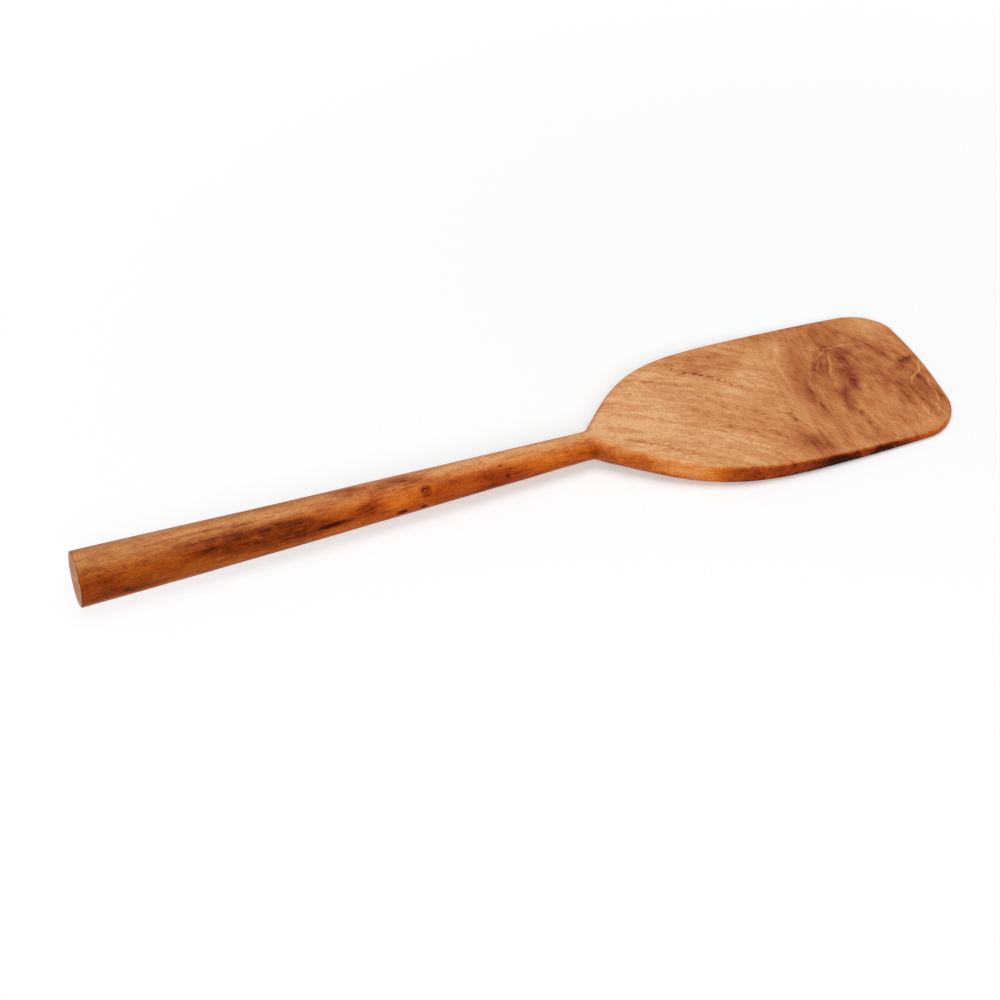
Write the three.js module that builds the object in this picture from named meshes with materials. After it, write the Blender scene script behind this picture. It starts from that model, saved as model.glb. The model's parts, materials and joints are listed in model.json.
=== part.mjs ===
// Wooden turner, carved from one piece of teak: a round tapering handle, a narrow neck
// and a flat blade that thins towards its tip. It lies on its back.
//
// Millimetres. +X runs from the butt of the handle to the tip of the blade and +Z is up.
// The origin is the middle of the turner's length, on the surface that it lies on.

import * as THREE from "three";
import { mergeVertices } from "three/addons/utils/BufferGeometryUtils.js";

// Lengths along the turner
const HANDLE_LENGTH = 203.5; // from the butt to the neck
const BLADE_LENGTH = 146.5; // from the neck to the middle of the tip
const WIDEST_FROM_TIP = 52;

// Handle
const BUTT_DIAMETER = 21.2;
const BUTT_EDGE_RADIUS = 1;
const NECK_DIAMETER = 11;
const NECK_LIFT = 2; // height of the underside of the neck above the surface

// Outline of the blade, seen from above
const BLADE_WIDTH = 82.8;
const TIP_WIDTH = 78.5; // between the long edges, if they ran on to the tip
const TIP_CORNER_RADIUS = 17;
const TIP_BOW = 1.2; // how far the middle of the tip stands ahead of its ends
const TIP_SKEW = 1.8; // how far the end on the +Y side stands ahead of the middle, as it was sawn
const SHOULDER_ANGLE = THREE.MathUtils.degToRad(45);
const SHOULDER_PULL = 39; // how far the flare holds its angle
const EDGE_PULL = 55; // how far the long edge stays straight before the flare
const SHOULDER_FILLET = 1.5; // length of the small curve on each side of the neck's corner

// Thickness of the blade, seen from the side
const TIP_THICKNESS = 2.7;
const SCOOP = 1.65; // power of the curve of the upper face: 1 is straight
const BACK_RUN = 60; // length over which the back comes down to the surface
const EDGE_RADIUS = 1.2; // rounding of the blade's edges
const TOP_EDGE_FADE = 6; // how fast the neck's round section turns into a crisp upper edge
const BACK_EDGE_FADE = 3; // the same for the edge of the back, which stays round for longer

// Steps of the surface
const CURVE_STEPS = 14; // along each curve of the outline
const CORNER_STEPS = 8; // round each corner of a section
const FACE_STEPS = 6; // across the upper face and the back
const MERGE_DISTANCE = 0.001;

const TOTAL_LENGTH = HANDLE_LENGTH + BLADE_LENGTH;
const BUTT_RADIUS = BUTT_DIAMETER / 2;
const NECK_RADIUS = NECK_DIAMETER / 2;
const NECK_TOP = NECK_LIFT + NECK_DIAMETER;
const WIDEST = TOTAL_LENGTH - WIDEST_FROM_TIP;

const { clamp, lerp, smoothstep } = THREE.MathUtils;

/** Radius of the straight taper of the handle. */
function handleRadius(station) {
  return lerp(BUTT_RADIUS, NECK_RADIUS, station / HANDLE_LENGTH);
}

/** Height of the axis of the handle, which rests on its butt. */
function handleAxis(station) {
  return lerp(BUTT_RADIUS, NECK_LIFT + NECK_RADIUS, station / HANDLE_LENGTH);
}

/** How far a station is along the blade: 0 at the neck and 1 at the tip. */
function alongBlade(station) {
  return clamp((station - HANDLE_LENGTH) / BLADE_LENGTH, 0, 1);
}

/** Half the width of the long edges between the widest place and the tip. */
function longEdge(station) {
  const share = (station - WIDEST) / WIDEST_FROM_TIP;
  return lerp(BLADE_WIDTH, TIP_WIDTH, share * share) / 2;
}

/** Half of the outline from above, as points (station from the butt, half width). */
function halfOutline() {
  const path = new THREE.Path();
  path.moveTo(0, BUTT_RADIUS - BUTT_EDGE_RADIUS);
  path.quadraticCurveTo(0, BUTT_RADIUS, BUTT_EDGE_RADIUS, handleRadius(BUTT_EDGE_RADIUS));

  const beforeNeck = HANDLE_LENGTH - SHOULDER_FILLET;
  path.lineTo(beforeNeck, handleRadius(beforeNeck));
  const flare = new THREE.Vector2(Math.cos(SHOULDER_ANGLE), Math.sin(SHOULDER_ANGLE));
  const neck = new THREE.Vector2(HANDLE_LENGTH, NECK_RADIUS);
  const afterNeck = neck.clone().addScaledVector(flare, SHOULDER_FILLET);
  path.quadraticCurveTo(neck.x, neck.y, afterNeck.x, afterNeck.y);

  const pulled = afterNeck.clone().addScaledVector(flare, SHOULDER_PULL);
  const halfWidth = BLADE_WIDTH / 2;
  path.bezierCurveTo(pulled.x, pulled.y, WIDEST - EDGE_PULL, halfWidth, WIDEST, halfWidth);
  return [...path.getPoints(CURVE_STEPS), ...tipOutline()];
}

/** The outline from the widest place to the tip, round the corner of the blade. */
function tipOutline() {
  const cornerStart = TOTAL_LENGTH - TIP_CORNER_RADIUS;
  const points = [];
  for (let i = 1; i <= CURVE_STEPS; i++) {
    const station = lerp(WIDEST, cornerStart, i / CURVE_STEPS);
    points.push(new THREE.Vector2(station, longEdge(station)));
  }
  for (let i = 1; i <= CURVE_STEPS; i++) {
    const turn = (Math.PI / 2) * (i / CURVE_STEPS);
    const station = cornerStart + TIP_CORNER_RADIUS * Math.sin(turn);
    const inset = TIP_CORNER_RADIUS * (1 - Math.cos(turn));
    points.push(new THREE.Vector2(station, longEdge(station) - inset));
  }
  return points;
}

/** How far the tip's front edge is rounded off at a station, from above and from below. */
function tipRounding(station) {
  const into = Math.max(0, station - (TOTAL_LENGTH - EDGE_RADIUS));
  return EDGE_RADIUS - Math.sqrt(Math.max(0, EDGE_RADIUS ** 2 - into ** 2));
}

/** Lowest and highest point of the section at a station. */
function heights(station, halfWidth) {
  if (station < HANDLE_LENGTH) {
    const radius = Math.min(halfWidth, handleRadius(station));
    const axis = handleAxis(station);
    return { back: axis - radius, top: axis + radius };
  }
  const fall = (1 - alongBlade(station)) ** SCOOP;
  const lift = 1 - smoothstep(station, HANDLE_LENGTH, HANDLE_LENGTH + BACK_RUN);
  return {
    back: NECK_LIFT * lift + tipRounding(station),
    top: lerp(TIP_THICKNESS, NECK_TOP, fall) - tipRounding(station),
  };
}

/** Rounding of a section's corners: half the section at the neck, crisp on the blade. */
function cornerRadius(station, fade, halfWidth, height) {
  const round = station < HANDLE_LENGTH ? halfWidth : NECK_RADIUS;
  const radius = lerp(EDGE_RADIUS, round, (1 - alongBlade(station)) ** fade);
  return Math.min(radius, halfWidth, height / 2);
}

/** Points of one section, a rectangle with rounded corners, as (y, z) round the turner. */
function sectionPoints(station, halfWidth) {
  const { back, top } = heights(station, halfWidth);
  const topRadius = cornerRadius(station, TOP_EDGE_FADE, halfWidth, top - back);
  const backRadius = cornerRadius(station, BACK_EDGE_FADE, halfWidth, top - back);
  const corners = [
    { y: halfWidth - backRadius, z: back + backRadius, radius: backRadius, from: -90 },
    { y: halfWidth - topRadius, z: top - topRadius, radius: topRadius, from: 0 },
    { y: topRadius - halfWidth, z: top - topRadius, radius: topRadius, from: 90 },
    { y: backRadius - halfWidth, z: back + backRadius, radius: backRadius, from: 180 },
  ];
  const arcs = corners.map(cornerArc);
  const upperFace = facePoints(arcs[1].at(-1), arcs[2][0]);
  const lowerFace = facePoints(arcs[3].at(-1), arcs[0][0]);
  return [...arcs[0], ...arcs[1], ...upperFace, ...arcs[2], ...arcs[3], ...lowerFace];
}

/** A quarter circle round one corner of a section. */
function cornerArc({ y, z, radius, from }) {
  const points = [];
  for (let i = 0; i <= CORNER_STEPS; i++) {
    const angle = THREE.MathUtils.degToRad(from + (90 * i) / CORNER_STEPS);
    points.push(new THREE.Vector2(y + radius * Math.cos(angle), z + radius * Math.sin(angle)));
  }
  return points;
}

/** Points between the two ends of a flat face of a section. */
function facePoints(start, end) {
  const points = [];
  for (let i = 1; i < FACE_STEPS; i++) {
    points.push(start.clone().lerp(end, i / FACE_STEPS));
  }
  return points;
}

/** One section in place, with the tip bowed and a little out of square. */
function ring({ x: station, y: halfWidth }) {
  const near = smoothstep(station, WIDEST, TOTAL_LENGTH);
  return sectionPoints(station, halfWidth).map(({ x: y, y: z }) => {
    const side = y / (TIP_WIDTH / 2);
    const forward = near * (TIP_SKEW * side - TIP_BOW * side * side);
    return new THREE.Vector3(station + forward, y, z);
  });
}

/** Triangles between neighbouring rings and over both ends, as indices of the points. */
function skinFaces(ringCount, size) {
  const faces = [];
  for (let i = 0; i + 1 < ringCount; i++) {
    for (let j = 0; j < size; j++) {
      const here = i * size + j;
      const beside = i * size + ((j + 1) % size);
      faces.push(here, beside, beside + size, here, beside + size, here + size);
    }
  }
  const last = (ringCount - 1) * size;
  for (let j = 1; j + 1 < size; j++) {
    faces.push(0, j + 1, j, last, last + j, last + j + 1);
  }
  return faces;
}

/** Leaves out the triangles that have no area once equal points are one. */
function dropFlatTriangles(geometry) {
  const index = geometry.getIndex().array;
  const kept = [];
  for (let i = 0; i < index.length; i += 3) {
    const [a, b, c] = [index[i], index[i + 1], index[i + 2]];
    if (a !== b && b !== c && a !== c) {
      kept.push(a, b, c);
    }
  }
  geometry.setIndex(kept);
  return geometry;
}

/** A closed surface through rings that all have the same number of points. */
function loft(rings) {
  const geometry = new THREE.BufferGeometry().setFromPoints(rings.flat());
  geometry.setIndex(skinFaces(rings.length, rings[0].length));
  const merged = dropFlatTriangles(mergeVertices(geometry, MERGE_DISTANCE));
  merged.computeVertexNormals();
  return merged;
}

/** Moves a surface so that the origin is the middle of its length. */
function centreLength(geometry) {
  geometry.computeBoundingBox();
  const { min, max } = geometry.boundingBox;
  return geometry.translate(-(min.x + max.x) / 2, 0, 0);
}

/** The whole turner, skinned over its sections from butt to tip. */
function makeTurner() {
  const teak = new THREE.MeshStandardMaterial({ color: 0xb9743f, roughness: 0.5, metalness: 0 });
  const turner = new THREE.Mesh(centreLength(loft(halfOutline().map(ring))), teak);
  turner.name = "turner";
  return turner;
}

const group = new THREE.Group();
group.add(makeTurner());

export default group;
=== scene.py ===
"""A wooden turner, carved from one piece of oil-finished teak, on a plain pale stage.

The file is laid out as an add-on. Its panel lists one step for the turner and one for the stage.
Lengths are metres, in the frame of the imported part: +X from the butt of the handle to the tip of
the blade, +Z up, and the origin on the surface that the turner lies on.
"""

import json
import math
from typing import NamedTuple

import bmesh
import bpy
from bpy.props import FloatProperty, FloatVectorProperty, PointerProperty
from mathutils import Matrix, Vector
from mathutils.geometry import interpolate_bezier

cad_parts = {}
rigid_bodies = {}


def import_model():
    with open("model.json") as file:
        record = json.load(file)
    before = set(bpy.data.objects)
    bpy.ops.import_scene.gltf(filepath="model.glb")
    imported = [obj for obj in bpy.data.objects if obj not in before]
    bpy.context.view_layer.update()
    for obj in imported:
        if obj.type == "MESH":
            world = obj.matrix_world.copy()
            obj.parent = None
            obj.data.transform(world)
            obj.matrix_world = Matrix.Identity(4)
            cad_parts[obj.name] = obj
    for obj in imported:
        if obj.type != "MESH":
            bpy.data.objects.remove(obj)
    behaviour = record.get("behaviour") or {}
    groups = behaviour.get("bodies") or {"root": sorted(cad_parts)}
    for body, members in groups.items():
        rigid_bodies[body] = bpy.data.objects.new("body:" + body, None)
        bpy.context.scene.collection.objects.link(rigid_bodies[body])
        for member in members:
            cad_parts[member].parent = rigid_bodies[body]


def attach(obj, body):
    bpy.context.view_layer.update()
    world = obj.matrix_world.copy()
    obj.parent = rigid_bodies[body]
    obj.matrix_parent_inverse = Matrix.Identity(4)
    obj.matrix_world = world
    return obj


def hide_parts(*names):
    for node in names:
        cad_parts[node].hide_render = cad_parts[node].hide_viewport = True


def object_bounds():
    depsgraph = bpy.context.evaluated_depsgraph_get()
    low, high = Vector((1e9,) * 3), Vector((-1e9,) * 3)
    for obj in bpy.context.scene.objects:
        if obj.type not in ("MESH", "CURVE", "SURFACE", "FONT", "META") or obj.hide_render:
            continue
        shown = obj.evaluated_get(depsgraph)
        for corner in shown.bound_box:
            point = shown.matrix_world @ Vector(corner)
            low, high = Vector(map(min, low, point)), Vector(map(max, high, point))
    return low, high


bl_info = {
    "name": "Wooden Turner",
    "version": (1, 0, 0),
    "blender": (4, 5, 0),
    "location": "View3D > Sidebar > Turner",
    "description": "Carves a one-piece teak turner and sets a plain studio stage for it",
    "category": "Object",
}

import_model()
CAD_LOW, CAD_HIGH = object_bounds()
MM = 0.001

# Steps of the turner's surface
CORNER_STEPS = 6  # round each corner of a section
FACE_CUTS = 9  # points between the corners, on the upper face and on the back
RING_POINTS = 4 * (CORNER_STEPS + 1) + 2 * FACE_CUTS
HANDLE_CUTS = 9
SHOULDER_STEPS = 16
EDGE_STEPS = 6
TIP_STEPS = 10
SMOOTH_LEVELS = 2

# Places that follow from how the turner was sawn
TIP_OVERHANG = 0.2 * MM  # the tip's leading corner stands this far ahead of its middle
TIP_DRIFT = -0.5 * MM  # and it stands this far off the middle line
SHOULDER_START = -0.6 * MM  # where the flare starts, from the neck
SHOULDER_DRIFT = 1.1 * MM  # the far shoulder is carved this much fuller than the near one
SHOULDER_RUN = (21 * MM, 75 * MM)  # from the neck to where that is fullest, and to where it ends
SHOULDER_ANGLE = math.radians(45)
SHOULDER_PULL = 42.5 * MM  # how far the flare of the blade holds its angle
EDGE_PULL = 55 * MM  # how far the long edge runs straight before the flare
BACK_RUN = 60 * MM  # length over which the back comes down to the surface
SCOOP = 1.65  # power of the upper face's curve, where 1 is straight
TOP_EDGE_FADE = 6  # how fast the neck's round section turns into a crisp upper edge
BACK_EDGE_FADE = 3  # the back's edge stays round for longer
NO_DISTANCE = 1e-6
ROUND_LIMIT = 0.95  # a corner's radius stays under this share of the room that it has

# Hand finish of the wood
BUTT_TURN = math.radians(3.4)  # the butt is sawn a little out of square
BUTT_REACH = -0.5 * MM
BUTT_DRIFT = 0.8 * MM  # the end of the handle bends a little to the far side
BUTT_BEND = 75 * MM  # over this length
BUTT_EDGE_STEPS = 3
BUTT_DOME = 0.3 * MM
BUTT_INSETS = (0.06, 0.25, 0.3)  # steps of the dome, as shares of the radius
SANDING_WAVE = 28 * MM
SANDING_DEPTH = 0.35 * MM

# Fibres run straight down the handle, then bend round a far centre beside the neck
BEND_X = 5.0  # millimetres, as all values of the grain are
BEND_RADIUS = 110.0
BEND_STRETCH = 130.0

# Softboxes: where they stand, and how wide they are
OVERHEAD_PLACE = Vector((0.1, 0.15, 2.4))
OVERHEAD_WIDTH = 1.7
FRONT_PLACE = Vector((-0.99, -2.25, 1.72))
FRONT_WIDTH = 1.4

# Floor, and the share of plain white that the camera sees in it, by the distance from the blade
FLOOR_WIDTH = 8
WHITE_CENTRE = (0.13, -0.04, 0)
WHITE_NEAR = (0.03, 0.0)  # a distance, and the share there
WHITE_FAR = (0.36, 1.0)

# The camera's place in the photograph's setting
CAMERA_AIM = Vector((-13.3, -8.05, 0)) * MM
CAMERA_ELEVATION = math.radians(39.9)
CAMERA_TURN = math.radians(-23.71)
CAMERA_DISTANCE = 1022.1 * MM
CAMERA_LENS = 97.56


def linear_colour(code):
    """Turns an sRGB hex colour into the linear values that Blender's sockets take."""
    shares = [int(code[i : i + 2], 16) / 255 for i in (1, 3, 5)]
    return tuple(c / 12.92 if c <= 0.04045 else ((c + 0.055) / 1.055) ** 2.4 for c in shares)


class TurnerSizes(bpy.types.PropertyGroup):
    """Sizes of the turner."""

    handle_length: FloatProperty(
        name="Handle length",
        description="From the butt to the neck",
        default=203.5 * MM,
        unit="LENGTH",
    )
    butt_diameter: FloatProperty(
        name="Butt diameter",
        description="Thickness of the handle at its end",
        default=CAD_HIGH.z - CAD_LOW.z,
        unit="LENGTH",
    )
    neck_diameter: FloatProperty(
        name="Neck diameter",
        description="Thickness of the handle where the blade starts",
        default=11 * MM,
        unit="LENGTH",
    )
    neck_lift: FloatProperty(
        name="Neck lift",
        description="Height of the underside of the neck above the surface",
        default=2 * MM,
        unit="LENGTH",
    )
    blade_width: FloatProperty(
        name="Blade width",
        description="Width of the blade at its widest place",
        default=CAD_HIGH.y - CAD_LOW.y,
        unit="LENGTH",
    )
    widest_from_tip: FloatProperty(
        name="Widest place",
        description="Distance of the widest place from the tip",
        default=52 * MM,
        unit="LENGTH",
    )
    tip_width: FloatProperty(
        name="Tip width",
        description="Distance between the long edges, if they ran on to the tip",
        default=78.5 * MM,
        unit="LENGTH",
    )
    tip_corner: FloatProperty(
        name="Tip corner radius",
        description="Radius of the two corners of the tip",
        default=17.5 * MM,
        unit="LENGTH",
    )
    tip_thickness: FloatProperty(
        name="Tip thickness",
        description="Thickness of the blade at its tip",
        default=2.7 * MM,
        unit="LENGTH",
    )
    tip_bow: FloatProperty(
        name="Tip bow",
        description="How far the middle of the tip stands ahead of its ends",
        default=1.5 * MM,
        unit="LENGTH",
    )
    tip_turn: FloatProperty(
        name="Tip turn",
        description="How far the tip is sawn out of square",
        default=math.radians(3),
        unit="ROTATION",
    )
    edge_radius: FloatProperty(
        name="Edge radius",
        description="Rounding of the edges of the blade",
        default=1.2 * MM,
        unit="LENGTH",
    )
    butt_edge: FloatProperty(
        name="Butt edge",
        description="Rounding of the edge of the butt",
        default=0.6 * MM,
        unit="LENGTH",
    )


class TeakFinish(bpy.types.PropertyGroup):
    """Colours and gloss of the oil-finished teak, from its palest wood to its darkest streaks, with the
    tint of painted shade on its sides.
    """

    cream: FloatVectorProperty(
        name="Cream",
        description="Palest fibres",
        default=linear_colour("#e3ae7a"),
        subtype="COLOR",
    )
    honey: FloatVectorProperty(
        name="Honey",
        description="Pale wood of the blade, near the neck",
        default=linear_colour("#d79a65"),
        subtype="COLOR",
    )
    golden: FloatVectorProperty(
        name="Golden brown",
        description="Body colour of the wood",
        default=linear_colour("#c88450"),
        subtype="COLOR",
    )
    russet: FloatVectorProperty(
        name="Russet",
        description="Redder wood of the handle and of the outer blade",
        default=linear_colour("#b66b3c"),
        subtype="COLOR",
    )
    umber: FloatVectorProperty(
        name="Umber",
        description="Dark growth rings",
        default=linear_colour("#8c4026"),
        subtype="COLOR",
    )
    soot: FloatVectorProperty(
        name="Near black",
        description="Cores of the darkest streaks, knots and pores",
        default=linear_colour("#34110a"),
        subtype="COLOR",
    )
    # painted shade: this tint makes the sides darker and redder than the faces, which show a sheen
    side_shade: FloatVectorProperty(
        name="Shaded sides",
        description="Tint of sides, which cut across the fibres and take up more oil",
        default=(1, 0.65, 0.13),
        subtype="COLOR",
    )
    handled: FloatVectorProperty(
        name="Handled grip",
        description="Tint of the end of the handle, which the hand has browned",
        default=(0.86, 1.03, 1.08),
        subtype="COLOR",
    )
    roughness: FloatProperty(
        name="Roughness",
        description="Roughness of the oiled surface",
        default=0.38,
        min=0,
        max=1,
        subtype="FACTOR",
    )


class StageLight(bpy.types.PropertyGroup):
    """Floor and light of the stage."""

    floor: FloatVectorProperty(
        name="Floor",
        description="Colour of the floor",
        default=linear_colour("#fdfefe"),
        subtype="COLOR",
    )
    sky: FloatProperty(
        name="Sky",
        description="Strength of the even light from all round",
        default=0.25,
        min=0,
    )
    top_power: FloatProperty(
        name="Overhead softbox",
        description="Power of the softbox over the turner",
        default=28,
        min=0,
        unit="POWER",
    )
    front_power: FloatProperty(
        name="Front softbox",
        description="Power of the softbox above the camera",
        default=54,
        min=0,
        unit="POWER",
    )


class Section(NamedTuple):
    """One cross section of the blade: a rectangle with rounded corners."""

    x: float
    half_width: float
    back: float
    top: float
    top_round: float
    back_round: float
    turn: float
    bow: float
    drift: float


class Mark(NamedTuple):
    """A darker or paler place in the wood: an ellipsoid, in millimetres, with a soft edge."""

    place: tuple
    reach: tuple
    turn: float  # degrees about the vertical
    depth: float  # how much darker the wood is there, and below 0 how much paler
    edge: float  # share of the reach over which it fades


class WoodLayer(NamedTuple):
    """One layer of the wood's tone: streaks of a size, in millimetres, and how strong they are."""

    size: tuple  # along the fibres, across them, and up
    amount: float


class Stray(NamedTuple):
    """How lines in the wood stray, in millimetres: in bends of a size, and by how much."""

    size: tuple
    amount: tuple


class WoodSockets(NamedTuple):
    """What the functions of the wood's look share, as sockets of its node tree."""

    place: bpy.types.NodeSocket  # in millimetres, in the part's frame
    along: bpy.types.NodeSocket  # how far along the turner that is
    grain: bpy.types.NodeSocket  # along the fibres, across them, and up
    arches: bpy.types.NodeSocket  # the same for the arches of the outer blade
    outer: bpy.types.NodeSocket  # 1 where the arches rule, and 0 where the fibres do
    sideways: bpy.types.NodeSocket  # 1 on sides, and 0 on faces that look up, down or along


# The handle, and the fibres that bend from it into the blade
FIBRE_LAYERS = (
    WoodLayer((24, 6, 6), 0.6),  # broad patches
    WoodLayer((14, 2.8, 2.8), 0.6),  # growth rings
    WoodLayer((3.4, 2.6, 2.6), 0.42),  # mottling
)
# The outer blade, where the rings are cut at a flat angle and close into arches
ARCH_LAYERS = (
    WoodLayer((36, 5, 5), 0.6),
    WoodLayer((14, 2, 2), 0.5),
    WoodLayer((4.5, 2.6, 2.6), 0.36),
)
WOOD_ROUGHNESS = 0.6  # of the noise in the layers and the fibres
FIBRE_SIZE = (6, 1, 1)
FIBRE_DEPTH = 0.38
ARCH_FIBRE_DEPTH = 0.3  # they show less in the outer blade, as the pores do
HANDLE_CONTRAST = 0.75  # the handle's own figure is calmer, and its marks stand out
SIDE_CONTRAST = 0.55  # and so is that of the sides
NECK_BLEND = (0.0, 30.0)  # where the look of the handle turns into that of the blade
SPECKLE_SIZE = (0.8, 0.65, 0.65)  # open grain, a little coarser than it is, to show
HANDLE_SPECKLE = 0.38  # share by which it darkens or brightens the wood
BLADE_SPECKLE = 0.3
PORE_SIZE = (2.2, 0.4, 0.4)
PORE_RANGE = (0.6, 0.72)  # of the noise: plain wood below it, and a pore above
HANDLE_PORE_DEPTH = 0.12
PORE_DEPTH = 0.3
ARCH_PORE_DEPTH = 0.12
GRIT_SIZE = (0.8, 0.8, 0.8)  # gaps between the pores of a dark line
GRIT_RANGE = (0.36, 0.56)
GRIT_DEPTH = 0.5

NOISE_MIDDLE = (0.5, 0.5, 0.5)  # of the colours of noise
# How lines stray: those of the two grains, of soft areas, and of the different streaks
GRAIN_STRAY = Stray((45, 12, 12), (0, 4, 4))
ARCH_STRAY = Stray((18, 12, 12), (0, 5, 5))
SOFT_STRAY = Stray((9, 9, 9), (5, 5, 3))
STREAK_STRAY = Stray((26, 1.2, 1.2), (14, 0.9, 0.9))  # draws out the handle's streaks
FIBRE_STRAY = Stray((7, 0.9, 0.9), (10, 1.4, 1.4))  # frays the streaks of the blade
LEG_STRAY = Stray((1.4, 9, 9), (1, 6, 0))  # frays the legs of the arches

# Slopes, from 0 to 1: how squarely a face looks sideways, or out of the butt's end
CALM_SLOPE = 0.3  # the figure grows calmer from here
SIDE_SHADE_SLOPES = (0.25, 0.9)  # painted shade: sides show the shade tint from here, and in full from there
HELD_SLOPE = 0.5  # the hand's brown is full from here
UNDER_SLOPE = -0.6  # the under edge is darkest from here, where -1 looks straight down
END_EDGE_SHADE_SLOPES = (0.2, 0.6)  # the painted shade begins on the rounded edge of the butt
END_FACE_SLOPES = (0.85, 0.98)  # and the painted light of the end face, where that edge turns flat

# Painted side shade, oil and relief
SIDE_SHADE_TINT_TONES = (0.2, 0.5)  # the painted side shade tint grows with the wood's darkness between these
SIDE_SHADE_LEAST = 0.4  # share of the side shade tint that the palest wood shows
GLOSS_CHANGE = (-0.06, 0.2)  # roughness of the palest and the darkest wood, from the finish's own
OIL_IOR = 1.5
OIL_SHINE = 0.06  # little, as most of the oil has dried in
RELIEF_STRENGTH = 0.3
RELIEF_DEPTH = 0.1 * MM

# Darkness at which each colour of the finish shows pure
COLOUR_TONES = {
    "cream": 0,
    "honey": 0.15,
    "golden": 0.36,
    "russet": 0.55,
    "umber": 0.8,
    "soot": 1,
}
# Darkness of the plain wood, by its share of the way from the butt to the tip
BASE_TONES = (
    (0, 0.38),
    (0.36, 0.36),
    (0.42, 0.23),
    (0.5, 0.12),
    (0.56, 0.08),
    (0.65, 0.12),
    (0.74, 0.18),
    (0.83, 0.38),
    (1, 0.44),
)
# Painted shade: how much darker the sides are than the faces that look up, as if shaded and without the
# faces' sheen, together with the darker and paler wood of the walls along the turner
SIDE_SHADE_AND_WOOD_TONES = (
    (0, 0.25),
    (0.4, 0.27),
    (0.48, 0.44),
    (0.56, 0.5),
    (0.6, 0.46),
    (0.62, 0.38),
    (0.65, 0.24),
    (0.68, 0.24),
    (0.7, 0.6),
    (0.74, 0.6),
    (0.778, 0.54),
    (0.788, 0.47),
    (0.808, 0.48),
    (0.82, 0.56),
    (0.842, 0.52),
    (0.857, 0.4),
    (0.875, 0.62),
    (0.895, 0.56),
    (0.91, 0.46),
    (0.93, 0.26),
    (1, 0.1),
)
# How much darker the under edge of the blade's rim is, which the surface below shades
UNDER_TONES = (
    (0, 0),
    (0.57, 0.1),
    (0.59, 0.34),
    (0.63, 0.3),
    (0.7, 0.2),
    (1, 0.3),
)
END_EDGE_SHADE = 0.32  # painted shade: a dark line on the rounded edge round the end of the butt
END_FACE_LIGHT = -0.29  # painted light: the end face inside it is paler
END_DEPTH = 3.0  # how far from the butt it is looked for, in millimetres
GRIP_START = -100.0  # the hand has browned the handle up to here
GRIP_END = -60.0  # and less and less up to here

# Nested arches of the outer blade, by their distance from a centre beside it
ARCH_CENTRE = (148.5, -50, 0)
ARCH_STRETCH = (1, 3, 1)
ARCH_LENGTH = 60.0
ARCH_OUTER = 56.0  # the arches fade in from here
ARCH_INNER = 30.0

FLAT = 60.0  # reach of a mark that goes right through the blade

# The handle's taper, for places on its surface
HANDLE_START = CAD_LOW.x / MM
BUTT_RADIUS = (CAD_HIGH.z - CAD_LOW.z) / 2 / MM
RADIUS_TAPER = 0.025  # for each millimetre from the butt, as the axis's fall is
AXIS_FALL = 0.015


def on_handle(station, angle, length, width, depth, edge=1.0):
    """A mark on the handle, by its distance from the butt and its angle up from the near side.

    The length and the width are those at half of the mark's depth.
    """
    radius = BUTT_RADIUS - RADIUS_TAPER * station
    height = BUTT_RADIUS - AXIS_FALL * station
    turn = math.radians(angle)
    place = (
        HANDLE_START + station,
        -radius * math.cos(turn),
        height + radius * math.sin(turn),
    )
    half = 2 - edge
    return Mark(place, (length / half, width / half, width / half), 0, depth, edge)


def on_blade(x, y, length, width, turn, depth, edge=1.0):
    """A mark right through the blade, with its length turned from the blade's own."""
    half = 2 - edge
    return Mark((x, y, 0), (length / half, width / half, FLAT), turn, depth, edge)


# Streaks and patches of the handle, from the butt to the neck, and painted shade on its underside near
# the butt
HANDLE_MARKS = (
    on_handle(5, 88, 9, 9, 0.1),
    on_handle(6, 20, 14, 9, 0.18),
    # painted shade: the underside near the butt, where the handle's shadow falls
    on_handle(12, -20, 34, 4, 0.16),
    on_handle(13, 34, 12, 3, 0.12),
    on_handle(18, 2, 22, 7, 0.1),
    on_handle(20, 95, 10, 1, 0.12),
    on_handle(31, 76, 12, 1, 0.24),
    on_handle(41, 79, 12, 1, 0.24),
    on_handle(52, 77, 13, 1, 0.24),
    on_handle(62, 72, 14, 1.2, 0.22),
    on_handle(36, 38, 30, 8, 0.12),
    on_handle(52, 40, 28, 6, 0.18),
    on_handle(58, 26, 22, 8, 0.15),
    on_handle(47, 54, 22, 2, 0.08),
    on_handle(74, 50, 20, 3, 0.24),
    on_handle(30, -4, 44, 6, 0.05),
    on_handle(80, 38, 18, 3, 0.14),
    on_handle(86, 19, 22, 7, 0.18),
    on_handle(76, 7, 28, 5, 0.16),
    on_handle(97, 9, 14, 2.2, 0.26),
    on_handle(105, 90, 9, 4, 0.32),
    on_handle(115, 78, 11, 4, 0.3),
    on_handle(123, 92, 12, 4, 0.28),
    on_handle(131, 73, 10, 3, 0.36),
    on_handle(111, 27, 9, 7, 0.26),
    on_handle(122, 22, 9, 4, -0.12),
    on_handle(140, 30, 14, 5, 0.16),
    on_handle(150, 38, 24, 4, 0.22),
    on_handle(150, -10, 40, 5, 0.1),
    on_handle(160, -20, 36, 5, 0.14),
    on_handle(162, 24, 14, 5, 0.12),
    on_handle(168, 8, 12, 6, 0.12),
    on_handle(172, 70, 3, 0.7, 0.2),
    on_handle(185, 55, 4, 0.8, 0.15),
    on_handle(197, 42, 14, 8, 0.14),
)

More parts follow.
